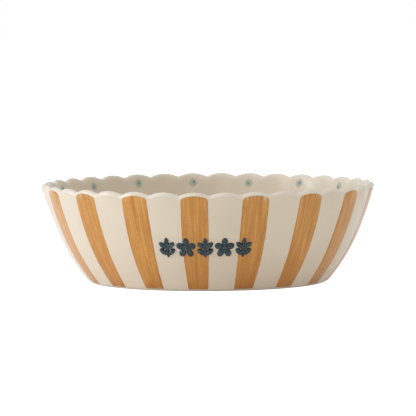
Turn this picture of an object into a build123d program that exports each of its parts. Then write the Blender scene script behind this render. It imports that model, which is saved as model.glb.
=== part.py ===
# A round stoneware serving bowl for chips, with a scalloped rim and brushed stripes.
#
# The clay body is one piece: wall, floor, foot ring and rim come out of one mould. The other
# pieces are what the potter adds to it one at a time before the glaze: the bands of coloured
# slip brushed on the outside, the spots dabbed on inside the rim, and the sprigs of clay
# pressed on to the front. Nothing on the bowl moves.
#
# Frame: the origin is on the table under the bowl's centre, +Z is up and -Y is the front.
from build123d import *
from math import asin, atan, cos, degrees, radians, sin, sqrt, tan
import os

# Driving dimensions, in millimetres and degrees. A lean is measured from the vertical.
# Body
mouth_radius = 125.6  # the wall's outer face, carried up to the height of the crests
height = 75.0  # table to the crests of the scallops
foot_radius = 85.0  # where the heel's round meets the table
heel_round = 8.3  # round between the wall's outer face and the table
heel_spread = 11.57  # how much more than straight the wall leans where it leaves the heel
rim_tuck = 13.93  # how much less than straight it leans at the crests
wall = 5.2
floor_thickness = 6.0
inside_corner = 16.0  # round between the floor and the wall, inside

# Foot ring, the only face that touches the table
foot_width = 6.0
foot_depth = 2.5
foot_taper = 2.0  # how far the recess narrows from the ring's edge to its own floor
wall_bands = 8  # straight bands the wall's curve is turned in, outside and inside

# Scalloped rim
stripe_count = 17
scallops_per_stripe = 2
scallop_rise = 2.75  # crest above the sharp valley, before the valley is rounded
valley_round = 3.0
lip_round = 1.7  # on both edges of the lip
rim_band = 12.0  # height of the part of the wall that is shaped scallop by scallop

# Slip stripes, one on every second scallop. Widths are straight across the stripe.
slip_thickness = 0.25
stripe_top_width = 20.6
stripe_middle_width = 19.9
stripe_foot_width = 15.0
stripe_corner = 2.2  # round of its two upper corners
stripe_gap = 0.1  # bare wall between the lip's round and the stripe
stripe_foot_height = 1.2  # its lower end, above the table

# Spots inside the rim, one behind each stripe
spot_diameter = 7.0
spot_drop = 7.5  # its centre below the crests
spot_thickness = 0.2

# Sprigs on the front, a row of leaves and blossoms
sprig_count = 5
sprig_height = 33.8  # the row's middle above the table
sprig_pitch = 14.1
sprig_turn = -1.7  # how far round from the front the row's middle sits
sprig_depth = 1.8  # how far it stands off the wall

# Leaf sprig
stem_width = 2.8
stem_low = -7.5
stem_high = 2.0
leaf_length = 6.8
leaf_width = 3.7
leaf_spread = 50.0  # a side leaf's lean
leaf_reach = 3.1  # a side leaf's middle, out from the stem
leaf_rows = (-2.9, 1.8)  # middles of the two pairs of side leaves
top_leaf_middle = 4.2

# Blossom
petal_count = 5
petal_length = 5.8
petal_width = 4.9
petal_reach = 4.6  # a petal's middle, out from the blossom's
blossom_eye = 4.6  # diameter of its middle

# Worked out from the above
wall_lean = degrees(atan((mouth_radius - foot_radius) / height))  # straight from foot to crest
heel_lean = wall_lean + heel_spread
rim_lean = wall_lean - rim_tuck
scallop_count = stripe_count * scallops_per_stripe
scallop_pitch = 360 / scallop_count
stripe_pitch = 360 / stripe_count
half_chord = (mouth_radius - wall / 2) * tan(radians(scallop_pitch / 2))
scallop_radius = (half_chord**2 + scallop_rise**2) / (2 * scallop_rise)
floor_level = foot_depth + floor_thickness
lip = min(lip_round, 0.42 * wall)  # two rounds and a little flat between them fill the wall
lip_reach = lip / tan(radians(45 - rim_lean / 2))  # how far down the wall the round comes
overshoot = scallop_rise + lip_reach  # how far sections run past what trims them


def lean_direction(lean):
    """Unit vector up a wall of this lean, in the plane of the section."""
    return Vector(sin(radians(lean)), 0, cos(radians(lean)))


def arc_through(start, lean, end):
    """Centre and radius of the arc that leaves start at this lean and passes through end."""
    inward = Vector(-cos(radians(lean)), 0, sin(radians(lean)))
    chord = end - start
    radius = chord.dot(chord) / (2 * inward.dot(chord))
    return start + inward * radius, radius


def wall_arcs():
    """The two tangent arcs of the wall's outer face: their joint, and each one's centre and radius."""
    turn = radians(heel_lean)
    start = Vector(foot_radius + heel_round * cos(turn), 0, heel_round * (1 - sin(turn)))
    end = Vector(mouth_radius, 0, height)
    low, high = lean_direction(heel_lean), lean_direction(rim_lean)
    chord = end - start
    along = chord.dot(low + high)
    bend = 2 * (1 - low.dot(high))
    tangent = (sqrt(along**2 + bend * chord.dot(chord)) - along) / bend
    joint = (start + end + (low - high) * tangent) * 0.5
    return joint, arc_through(start, heel_lean, joint), arc_through(end, rim_lean, joint)


wall_joint, (low_centre, low_radius), (high_centre, high_radius) = wall_arcs()
joint_lean = degrees(asin((low_centre.Z - wall_joint.Z) / low_radius))
corner_rise = low_centre.Z - floor_level - inside_corner
corner_lean = degrees(asin(corner_rise / (low_radius - wall - inside_corner)))


def outward(lean):
    """Unit vector square to a wall of this lean, away from the bowl's axis."""
    return Vector(cos(radians(lean)), 0, -sin(radians(lean)))


def band_line(inset, first_lean):
    """The wall's face moved towards the axis by inset, as straight bands up past the crests."""
    points = []
    for i in range(wall_bands + 1):
        lean = first_lean + (rim_lean - first_lean) * i / wall_bands
        low = lean > joint_lean
        centre, radius = (low_centre, low_radius) if low else (high_centre, high_radius)
        points.append(centre + outward(lean) * (radius - inset))
    run_on = (points[-1] - points[-2]).normalized() * overshoot
    return [*points, points[-1] + run_on]


def quarter(centre, radius, lean):
    """An arc about a centre, from straight below it to where a wall of this lean begins."""
    middle = radians(90 + lean) / 2
    halfway = Vector(cos(middle), 0, -sin(middle))
    low, high = centre - Vector(0, 0, radius), centre + outward(lean) * radius
    return ThreePointArc(low, centre + halfway * radius, high)


def heel_line(inset):
    """The round under the wall, from the table to where the wall leaves it, moved by inset."""
    return quarter(Vector(foot_radius, 0, heel_round), heel_round - inset, heel_lean)


def wall_radius(level):
    """Radius of the wall's outer face at a height."""
    low = level < wall_joint.Z
    centre, radius = (low_centre, low_radius) if low else (high_centre, high_radius)
    return centre.X + sqrt(radius**2 - (level - centre.Z) ** 2)


def body_section():
    """Half of the bowl's upright section, with the wall run on past the crests."""
    outside = band_line(0, heel_lean)
    inside = band_line(wall, corner_lean)
    corner_centre = inside[0] - outward(corner_lean) * inside_corner
    corner = quarter(corner_centre, inside_corner, corner_lean)
    inner_foot = foot_radius - foot_width
    underside = Polyline(
        corner @ 0,
        (0, 0, floor_level),
        (0, 0, foot_depth),
        (inner_foot - foot_taper, 0, foot_depth),
        (inner_foot, 0, 0),
        (foot_radius, 0, 0),
    )
    lip_line = Line(outside[-1], inside[-1])
    walls = Polyline(*outside), lip_line, Polyline(*reversed(inside))
    return make_face([heel_line(0), *walls, corner, underside])


def scallop_pillar(turn):
    """What one scallop's round top leaves standing, as a level cylinder pointing out from the axis."""
    length = 6 * wall
    pillar = Cylinder(scallop_radius, length, rotation=(0, 90, 0))
    return Rot(0, 0, turn) * Pos(mouth_radius - wall, 0, height - scallop_radius) * pillar


def rim_sector(section):
    """The rim from one crest to the next, with the valley between them in its middle."""
    half = scallop_pitch / 2
    sector = Rot(0, 0, -half) * revolve(section, Axis.Z, scallop_pitch)
    low = height - scallop_rise
    width = 4 * half_chord
    waste = Pos(mouth_radius, 0, low - lip) * Box(
        8 * wall, width, 2 * overshoot + lip, align=(Align.CENTER, Align.CENTER, Align.MIN)
    )
    sector -= waste - scallop_pillar(-half) - scallop_pillar(half)

    def is_valley(edge):
        middle = edge.center()
        return abs(middle.Y) < 1e-3 and middle.Z > low - wall

    def is_lip(edge):
        run = edge @ 1 - edge @ 0
        return min((edge @ 0).Z, (edge @ 1).Z) > low - wall / 2 and abs(run.Y) > abs(run.X)

    sector = fillet(sector.edges().filter_by(is_valley), valley_round)
    return fillet(sector.edges().filter_by(is_lip), lip)


def make_body():
    """The clay body: a turned bowl, closed at the top by a ring of like rim sectors."""
    section = body_section()
    shoulder = Plane.XY.offset(height - rim_band)
    bowl = revolve(split(section, shoulder, keep=Keep.BOTTOM), Axis.Z)
    sector = rim_sector(split(section, shoulder, keep=Keep.TOP))
    front = -90
    ring = [Rot(0, 0, front + i * scallop_pitch) * sector for i in range(scallop_count)]
    return bowl.fuse(*ring)


def outer_line(inset):
    """The body's outer face with its heel, moved towards the axis by inset."""
    return [heel_line(inset), Polyline(*band_line(inset, heel_lean))]


def inner_line(inset):
    """The body's inner face above the floor's corner, moved towards the axis by inset."""
    return [Polyline(*band_line(wall + inset, corner_lean))]


def filled(line, arc):
    """Everything between a line of the wall and the bowl's axis, over an arc about +X."""
    low, high = line[0] @ 0, line[-1] @ 1
    closing = Polyline(high, (0, 0, high.Z), (0, 0, low.Z), low)
    return Rot(0, 0, -arc / 2) * revolve(make_face([*line, closing]), Axis.Z, arc)


def on_wall(outline, line, inner, outer, arc):
    """An outline drawn across (X) and up (Y) the wall, as a skin between two insets of a line."""
    drawing = Plane(origin=(0, 0, 0), x_dir=(0, 1, 0), z_dir=(1, 0, 0))
    prism = extrude(drawing * outline, 2 * mouth_radius)
    return (prism & filled(line(outer), arc)) - filled(line(inner), arc)


def stripe_outline():
    """One brushed band, drawn across and up the wall: two bowed sides under a round top."""
    crest_centre = height - scallop_radius
    top_radius = scallop_radius - lip_reach - stripe_gap
    half_top, half_middle, half_foot = (
        width / 2 for width in (stripe_top_width, stripe_middle_width, stripe_foot_width)
    )
    corner_level = crest_centre + sqrt(top_radius**2 - half_top**2)
    middle_level = (corner_level + stripe_foot_height) / 2
    side = [
        (half_foot, stripe_foot_height),
        (half_middle, middle_level),
        (half_top, corner_level),
    ]
    mirrored = [(-x, y) for x, y in side]
    right = ThreePointArc(*side)
    top = ThreePointArc(side[-1], (0, crest_centre + top_radius), mirrored[-1])
    left = ThreePointArc(*reversed(mirrored))
    foot = Line(mirrored[0], side[0])
    outline = make_face([right, top, left, foot])
    upper = outline.vertices().filter_by(lambda v: v.Y > middle_level)
    return fillet(upper, stripe_corner)


def make_stripe():
    """One band of slip on the wall's outer face, facing +X."""
    return on_wall(stripe_outline(), outer_line, 0, -slip_thickness, stripe_pitch)


def make_spot():
    """One spot of slip on the wall's inner face, facing the axis from the +X side."""
    outline = Pos(0, height - spot_drop) * Circle(spot_diameter / 2)
    return on_wall(outline, inner_line, spot_thickness, 0, scallop_pitch)


def leaf_sprig():
    """A stem with two pairs of side leaves and one leaf at its tip."""
    leaf = Rot(0, 0, 90) * Ellipse(leaf_length / 2, leaf_width / 2)
    stem_length = stem_high - stem_low
    stem = Rot(0, 0, 90) * SlotOverall(stem_length, stem_width)
    sprig = Pos(0, (stem_low + stem_high) / 2) * stem + Pos(0, top_leaf_middle) * leaf
    for level in leaf_rows:
        for side in (-1, 1):
            sprig += Pos(side * leaf_reach, level) * Rot(0, 0, -side * leaf_spread) * leaf
    return sprig


def blossom_sprig():
    """Petals set round an eye, the first one upright."""
    petal = Ellipse(petal_width / 2, petal_length / 2)
    sprig = Circle(blossom_eye / 2)
    for i in range(petal_count):
        sprig += Rot(0, 0, i * 360 / petal_count) * Pos(0, petal_reach) * petal
    return sprig


def make_sprigs():
    """The row on the front, by name: leaf sprigs and blossoms in turn."""
    step = degrees(sprig_pitch / wall_radius(sprig_height))
    shapes = {"leaf": leaf_sprig(), "blossom": blossom_sprig()}
    sprigs = {}
    for i in range(sprig_count):
        kind = ("leaf", "blossom")[i % 2]
        turn = -90 + sprig_turn + (i - (sprig_count - 1) / 2) * step
        outline = Pos(0, sprig_height) * shapes[kind]
        shape = on_wall(outline, outer_line, 0, -sprig_depth, stripe_pitch)
        sprigs[f"sprig_{i + 1}_{kind}"] = Rot(0, 0, turn) * shape
    return sprigs


def boxes_meet(one, other):
    """Whether the boxes around two pieces have some room in common."""
    first, second = one.bounding_box(), other.bounding_box()
    pairs = zip(first.min, first.max, second.min, second.max)
    return all(low < far and near < high for low, high, near, far in pairs)


def make_nodes():
    """Every piece of the bowl by its name."""
    nodes = {"bowl_body": make_body()}
    sprigs = make_sprigs()
    stripe, spot = make_stripe(), make_spot()
    first = -90 - scallop_pitch / 2
    for i in range(stripe_count):
        place = Rot(0, 0, first + i * stripe_pitch)
        band = place * stripe
        for sprig in sprigs.values():
            if boxes_meet(band, sprig):
                band -= sprig
        nodes[f"slip_stripe_{i + 1:02d}"] = band
        nodes[f"rim_spot_{i + 1:02d}"] = place * spot
    return nodes | sprigs


os.makedirs("parts", exist_ok=True)
for name, shape in make_nodes().items():
    export_step(shape, f"parts/{name}.step")
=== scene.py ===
"""A round stoneware chip bowl with a scalloped rim, brushed stripes, rim spots and clay sprigs.

The clay body is thrown by Geometry Nodes from one upright section. Everything that the potter adds
to it is drawn flat and then laid on the finished wall, so it follows the wall wherever it goes.
"""

import logging
import math
from dataclasses import dataclass, field
from enum import Enum
from typing import Callable, Iterable, Sequence

import bpy
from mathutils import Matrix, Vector


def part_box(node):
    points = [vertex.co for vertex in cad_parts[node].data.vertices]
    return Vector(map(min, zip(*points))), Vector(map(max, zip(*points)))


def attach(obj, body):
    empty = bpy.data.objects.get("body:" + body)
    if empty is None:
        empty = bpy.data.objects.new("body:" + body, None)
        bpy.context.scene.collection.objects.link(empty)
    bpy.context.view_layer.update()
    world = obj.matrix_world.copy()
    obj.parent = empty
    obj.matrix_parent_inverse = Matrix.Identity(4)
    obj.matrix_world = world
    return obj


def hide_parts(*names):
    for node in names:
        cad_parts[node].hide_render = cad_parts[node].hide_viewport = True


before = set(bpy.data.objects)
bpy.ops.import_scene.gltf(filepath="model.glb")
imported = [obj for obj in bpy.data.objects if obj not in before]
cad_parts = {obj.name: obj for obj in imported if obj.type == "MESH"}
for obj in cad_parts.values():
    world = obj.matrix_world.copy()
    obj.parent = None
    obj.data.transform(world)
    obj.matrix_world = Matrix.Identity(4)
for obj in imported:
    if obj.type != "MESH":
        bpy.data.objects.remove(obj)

log = logging.getLogger("bowl")
MM = 0.001
BODY = "root"
FRONT = -90.0  # degrees about +Z of the side that faces the camera

Colour = tuple[float, float, float]
Socket = bpy.types.NodeSocket
Dome = tuple[list, list]  # points and faces


# ---------------------------------------------------------------------------------------------
# Node trees
# ---------------------------------------------------------------------------------------------


class Graph:
    """A node tree with short ways to add and join its nodes."""

    def __init__(self, tree: bpy.types.NodeTree) -> None:
        """Keeps the tree.

        Args:
            tree: the geometry or shader tree to build in.
        """
        self.tree = tree

    def node(self, kind: str, inputs: dict | None = None, **settings: object) -> bpy.types.Node:
        """Adds one node.

        Args:
            kind: the node's type name.
            inputs: sockets by name or number, each with a socket to join or a value to set.
            **settings: the node's own properties.

        Returns:
            The new node.
        """
        made = self.tree.nodes.new(kind)
        for name, value in settings.items():
            setattr(made, name, value)
        for key, value in (inputs or {}).items():
            self.feed(made.inputs[key], value)
        return made

    def feed(self, socket: Socket, value: object) -> None:
        """Joins a socket to another one, or sets its value.

        Args:
            socket: the input to feed.
            value: an output to join to it, or a plain value.
        """
        if isinstance(value, bpy.types.NodeSocket):
            self.tree.links.new(value, socket)
        else:
            socket.default_value = value

    def result(self, kind: str, inputs: dict | None = None, **settings: object) -> Socket:
        """Adds a node as node() does, and gives its first output."""
        return self.node(kind, inputs, **settings).outputs[0]

    def math(self, operation: str, *values: object) -> Socket:
        """The result of a Math node on up to three values."""
        return self.result("ShaderNodeMath", dict(enumerate(values)), operation=operation)

    def product(self, first: object, *others: object) -> Socket:
        """Multiplies values together.

        Args:
            first: the first value.
            *others: the values to multiply it by, one after another.

        Returns:
            Their product.
        """
        for other in others:
            first = self.math("MULTIPLY", first, other)
        return first

    def vector(self, operation: str, *values: object) -> Socket:
        """The vector that a Vector Math node makes of up to three vectors."""
        return self.result("ShaderNodeVectorMath", dict(enumerate(values)), operation=operation)

    def scaled(self, vector: Socket, by: object) -> Socket:
        """A vector times a number."""
        return self.result("ShaderNodeVectorMath", {0: vector, "Scale": by}, operation="SCALE")

    def length(self, vector: Socket) -> Socket:
        """The length of a vector."""
        return self.node("ShaderNodeVectorMath", {0: vector}, operation="LENGTH").outputs["Value"]

    def xyz(self, x: object, y: object, z: object) -> Socket:
        """A vector from its three coordinates."""
        return self.result("ShaderNodeCombineXYZ", {"X": x, "Y": y, "Z": z})

    def split(self, vector: Socket) -> list[Socket]:
        """A vector's three coordinates."""
        return list(self.node("ShaderNodeSeparateXYZ", {0: vector}).outputs)

    def ease(
        self, value: object, low: object, high: object, start: object = 0.0, end: object = 1.0
    ) -> Socket:
        """A smooth step.

        Args:
            value: what it follows.
            low: the value at which the step begins.
            high: the value at which it is over.
            start: the result up to low.
            end: the result from high.

        Returns:
            The result.
        """
        inputs = {"Value": value, "From Min": low, "From Max": high, "To Min": start, "To Max": end}
        return self.result("ShaderNodeMapRange", inputs, interpolation_type="SMOOTHSTEP")

    def noise(self, vector: object, scale: object, detail: float = 2.0, rough: float = 0.5) -> Socket:
        """Noise from 0 to 1.

        Args:
            vector: where it is read.
            scale: how many lumps there are in each unit.
            detail: how many finer layers it has.
            rough: how strong the finer layers are.

        Returns:
            The noise.
        """
        inputs = {"Vector": vector, "Scale": scale, "Detail": detail, "Roughness": rough}
        return self.result("ShaderNodeTexNoise", inputs)

    def blend(self, factor: object, first: object, second: object) -> Socket:
        """Mixes two colours.

        Args:
            factor: the second colour's share.
            first: the colour at 0.
            second: the colour at 1.

        Returns:
            The mixed colour.
        """
        made = self.node("ShaderNodeMix", data_type="RGBA")
        for number, value in ((0, factor), (6, first), (7, second)):
            self.feed(made.inputs[number], opaque(value))
        return made.outputs[2]

    def group(self, group: bpy.types.NodeTree, **inputs: object) -> bpy.types.NodeOutputs:
        """Places a shader node group.

        Args:
            group: the node group.
            **inputs: its inputs. A space in an input's name is an underscore here.

        Returns:
            Its outputs.
        """
        made = self.node("ShaderNodeGroup", node_tree=group)
        for name, value in inputs.items():
            self.feed(made.inputs[name.replace("_", " ")], opaque(value))
        return made.outputs

    def place(self) -> Socket:
        """The shaded point, in the object's own coordinates."""
        return self.node("ShaderNodeTexCoord").outputs["Object"]

    def attribute(self, name: str, output: str = "Fac") -> Socket:
        """One of the piece's own attributes, as a number or, from the output Vector, a vector."""
        return self.node("ShaderNodeAttribute", attribute_name=name).outputs[output]

    def own(self, name: str) -> Socket:
        """Finds one of this group's own inputs.

        Args:
            name: the input's name.

        Returns:
            Its socket.
        """
        inputs = next((n for n in self.tree.nodes if n.type == "GROUP_INPUT"), None)
        return (inputs or self.tree.nodes.new("NodeGroupInput")).outputs[name]

    def finish(self, **results: Socket) -> None:
        """Joins the group's outputs.

        Args:
            **results: what each output gives. A space in its name is an underscore here.
        """
        end = self.tree.nodes.new("NodeGroupOutput")
        for name, value in results.items():
            self.feed(end.inputs[name.replace("_", " ")], value)

    def dress(self, geometry: Socket, finish: str) -> Socket:
        """Shades geometry smooth, makes it real and gives it its material.

        Args:
            geometry: the geometry.
            finish: the name of the group's input that holds the material.

        Returns:
            The dressed geometry.
        """
        smooth = self.result("GeometryNodeSetShadeSmooth", {"Geometry": geometry})
        real = self.result("GeometryNodeRealizeInstances", {"Geometry": smooth})
        return self.result("GeometryNodeSetMaterial", {"Geometry": real, "Material": self.own(finish)})

    def surface(self, shader: bpy.types.Node) -> bpy.types.Material:
        """Ends a material.

        Args:
            shader: the node whose first output is its surface.

        Returns:
            The finished material.
        """
        end = self.node("ShaderNodeOutputMaterial", {"Surface": shader.outputs[0]})
        return next(material for material in bpy.data.materials if material.node_tree == end.id_data)


def opaque(value: object) -> object:
    """A plain colour with its alpha added, or the value as it was."""
    return (*value, 1.0) if isinstance(value, tuple) and len(value) == 3 else value


def new_group(name: str, kind: str, inputs: dict[str, str], outputs: dict[str, str]) -> Graph:
    """Makes a node group with named inputs and outputs.

    Args:
        name: the group's name.
        kind: GeometryNodeTree or ShaderNodeTree.
        inputs: the inputs' names and their kinds, such as Float.
        outputs: the same for the outputs.

    Returns:
        The graph to build the group in.
    """
    tree = bpy.data.node_groups.new(name, kind)
    for way, sockets in (("INPUT", inputs), ("OUTPUT", outputs)):
        for label, what in sockets.items():
            tree.interface.new_socket(label, in_out=way, socket_type=f"NodeSocket{what}")
    return Graph(tree)


def bake(piece: bpy.types.Object) -> None:
    """Makes what a piece's modifiers show its plain mesh.

    Args:
        piece: the piece, which must be linked to the scene.
    """
    graph = bpy.context.evaluated_depsgraph_get()
    shown = piece.evaluated_get(graph)
    piece.data = bpy.data.meshes.new_from_object(shown, preserve_all_data_layers=True, depsgraph=graph)
    piece.modifiers.clear()


def settle(piece: bpy.types.Object, tree: bpy.types.NodeTree, **values: object) -> None:
    """Runs a geometry tree on a piece and bakes it.

    Args:
        piece: the piece.
        tree: the geometry tree.
        **values: the tree's inputs. A space in an input's name is an underscore here.
    """
    modifier = piece.modifiers.new(tree.name, "NODES")
    modifier.node_group = tree
    sockets = {item.name: item.identifier for item in tree.interface.items_tree if item.in_out == "INPUT"}
    for name, value in values.items():
        modifier[sockets[name.replace("_", " ")]] = value
    bake(piece)
    piece.data.name = piece.name


def new_piece(
    name: str, points: Iterable[Sequence[float]], edges: Iterable, faces: Iterable
) -> bpy.types.Object:
    """Makes a mesh object at the origin, linked to the scene.

    Args:
        name: the object's name.
        points: its points.
        edges: its loose edges, as pairs of point numbers.
        faces: its faces, as rings of point numbers.

    Returns:
        The object.
    """
    mesh = bpy.data.meshes.new(name)
    mesh.from_pydata([tuple(point) for point in points], list(edges), list(faces))
    piece = bpy.data.objects.new(name, mesh)
    bpy.context.scene.collection.objects.link(piece)
    return piece


# ---------------------------------------------------------------------------------------------
# Finishes
# ---------------------------------------------------------------------------------------------


CLEAR_COAT = 0.35  # how much clear glaze lies over a finish
COAT_ROUGHNESS = 0.12
COAT_IOR = 1.4
GLAZE_IOR = 1.42
BUMP_STRENGTH = 0.35
BUMP_DEPTH = 0.02 * MM


@dataclass(frozen=True)
class GlazeSkin:
    """A shiny glaze's own detail: soft clouds where it is thicker, iron specks, and a dimpled skin."""

    cloud_edge: tuple[float, float] = (0.35, 0.68)  # noise where a cloud begins and where it is full
    speck_cells: float = 210.0  # to a metre
    empty_cells: float = 0.9  # share of the cells that hold no speck
    speck_edge: tuple[float, float] = (0.16, 0.05)  # share of a cell where a speck begins and is full
    dimples: float = 420.0  # to a metre
    dimple_depth: float = 0.35
    waves: float = 60.0  # to a metre
    wave_edge: tuple[float, float] = (0.3, 0.7)
    wave_depth: float = 2.5
    gloss: tuple[float, float] = (0.17, 0.27)  # roughness at the waves' feet and at their tops

    def group(self) -> bpy.types.NodeTree:
        """Builds the detail as a node group.

        Returns:
            The group, which puts out a colour, a roughness and a height.
        """
        inputs = dict.fromkeys(("Colour", "Cloud Colour", "Speck Colour"), "Color")
        inputs |= dict.fromkeys(("Cloud Size", "Specks"), "Float")
        outputs = {"Colour": "Color", "Roughness": "Float", "Height": "Float"}
        graph = new_group("glaze_detail", "ShaderNodeTree", inputs, outputs)
        place = graph.place()
        clouds = graph.noise(place, graph.math("DIVIDE", 1.0, graph.own("Cloud Size")), 3.0, 0.55)
        cloud = graph.ease(clouds, *self.cloud_edge)
        cell_inputs = {"Vector": place, "Scale": self.speck_cells, "Randomness": 1.0}
        cells = graph.node("ShaderNodeTexVoronoi", cell_inputs).outputs
        sparse = graph.math("GREATER_THAN", graph.split(cells["Color"])[0], self.empty_cells)
        speck = graph.product(graph.ease(cells["Distance"], *self.speck_edge), sparse, graph.own("Specks"))
        clouded = graph.blend(cloud, graph.own("Colour"), graph.own("Cloud Colour"))
        dimples = graph.product(graph.noise(place, self.dimples, 1.0), self.dimple_depth)
        waves = graph.noise(place, self.waves)
        graph.finish(
            Colour=graph.blend(speck, clouded, graph.own("Speck Colour")),
            Roughness=graph.ease(waves, *self.wave_edge, *self.gloss),
            Height=graph.math("MULTIPLY_ADD", waves, self.wave_depth, dimples),
        )
        return graph.tree


@dataclass(frozen=True)
class Bristles:
    """Bristle marks along a stroke, and the wander of its edge.

    Each kind of mark is given by its width and its length in millimetres.
    """

    fine: tuple[float, float] = (0.7, 30.0)
    broad: tuple[float, float] = (3.0, 60.0)
    chatter: tuple[float, float] = (5.0, 1.1)
    pool: tuple[float, float] = (7.0, 24.0)
    wander: tuple[float, float] = (2.2, 7.0)
    fine_share: float = 0.56
    broad_share: float = 0.30
    chatter_share: float = 0.14
    streak_edge: tuple[float, float] = (0.32, 0.68)
    pool_edge: tuple[float, float] = (0.36, 0.7)
    seed_reach: float = 7.3  # how far apart the seeds 0 and 1 read the noise

    def group(self) -> bpy.types.NodeTree:
        """Builds the marks as a node group.

        Returns:
            The group, which puts out streaks and pools from 0 to 1, and a wander either side of 0.
        """
        outputs = dict.fromkeys(("Streaks", "Pools", "Wander"), "Float")
        graph = new_group("brush_marks", "ShaderNodeTree", {"Stroke": "Vector", "Seed": "Float"}, outputs)
        across, along, _ = graph.split(graph.own("Stroke"))
        seed = graph.own("Seed")

        def marks(size: tuple[float, float], layer: float, detail: float = 2.0) -> Socket:
            """Makes one layer of marks.

            Args:
                size: a mark's width and length.
                layer: a number of its own, which keeps the layers apart.
                detail: how many finer layers it has.

            Returns:
                The layer, from 0 to 1.
            """
            x, y = graph.math("DIVIDE", across, size[0]), graph.math("DIVIDE", along, size[1])
            z = graph.math("MULTIPLY_ADD", seed, self.seed_reach, layer)
            return graph.noise(graph.xyz(x, y, z), 1.0, detail, 0.6)

        streaks = graph.product(marks(self.broad, 11.0, 1.0), self.broad_share)
        streaks = graph.math("MULTIPLY_ADD", marks(self.fine, 0.0, 3.0), self.fine_share, streaks)
        streaks = graph.math("MULTIPLY_ADD", marks(self.chatter, 17.0), self.chatter_share, streaks)
        graph.finish(
            Streaks=graph.ease(streaks, *self.streak_edge),
            Pools=graph.ease(marks(self.pool, 23.0), *self.pool_edge),
            Wander=graph.math("SUBTRACT", marks(self.wander, 31.0), 0.5),
        )
        return graph.tree


@dataclass(frozen=True)
class Glaze:
    """What any glaze has: its colours, and how its clouds and specks are spread."""

    colour: Colour
    cloud: Colour
    speck: Colour
    cloud_size: float
    specks: float

    def coat(self, graph: Graph, skin: bpy.types.NodeTree) -> bpy.types.NodeOutputs:
        """Places the glaze's detail with this glaze's colours.

        Args:
            graph: the material's graph.
            skin: the shared group of glaze detail.

        Returns:
            The group's outputs: Colour, Roughness and Height.
        """
        return graph.group(
            skin,
            Colour=self.colour,
            Cloud_Colour=self.cloud,
            Speck_Colour=self.speck,
            Cloud_Size=self.cloud_size,
            Specks=self.specks,
        )


@dataclass(frozen=True)
class CreamGlaze(Glaze):
    """The cream glaze over the whole bowl, with a painted highlight on its lip and bare clay where it stands.
    """

    colour: Colour = (0.698, 0.609, 0.485)
    cloud: Colour = (0.671, 0.577, 0.452)
    speck: Colour = (0.33, 0.22, 0.13)
    cloud_size: float = 35 * MM
    specks: float = 0.16
    # the lip's painted highlight colour, lighter where its round catches the light
    lip: Colour = (0.77, 0.70, 0.60)
    lip_highlight_strength: float = 0.75  # how far the lip goes to its painted highlight colour
    clay: Colour = (0.52, 0.40, 0.28)
    clay_spread: float = 1.25  # how much lighter the grit is than the clay
    clay_roughness: float = 0.85
    grit: float = 900.0  # to a metre
    grit_depth: float = 3.0

    def material(self, skin: bpy.types.NodeTree) -> bpy.types.Material:
        """Mixes the body's material.

        Args:
            skin: the shared group of glaze detail.

        Returns:
            The material, which reads the body's attributes lip, which carries a painted highlight, and bare.
        """
        graph = new_material("cream_glaze")
        coat = self.coat(graph, skin)
        lip, bare = graph.attribute("lip"), graph.attribute("bare")
        grit = graph.noise(graph.place(), self.grit, 3.0, 0.7)
        # The lip gets a painted highlight, lighter where its round catches the light.
        lip_highlight = graph.blend(graph.product(lip, self.lip_highlight_strength), coat["Colour"], self.lip)
        clay = graph.blend(grit, self.clay, tuple(value * self.clay_spread for value in self.clay))
        return shiny(
            graph,
            colour=graph.blend(bare, lip_highlight, clay),
            roughness=graph.ease(bare, 0.0, 1.0, coat["Roughness"], self.clay_roughness),
            height=graph.math("MULTIPLY_ADD", graph.product(grit, bare), self.grit_depth, coat["Height"]),
            coat=graph.ease(bare, 0.0, 1.0, CLEAR_COAT, 0.0),
        )


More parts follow.
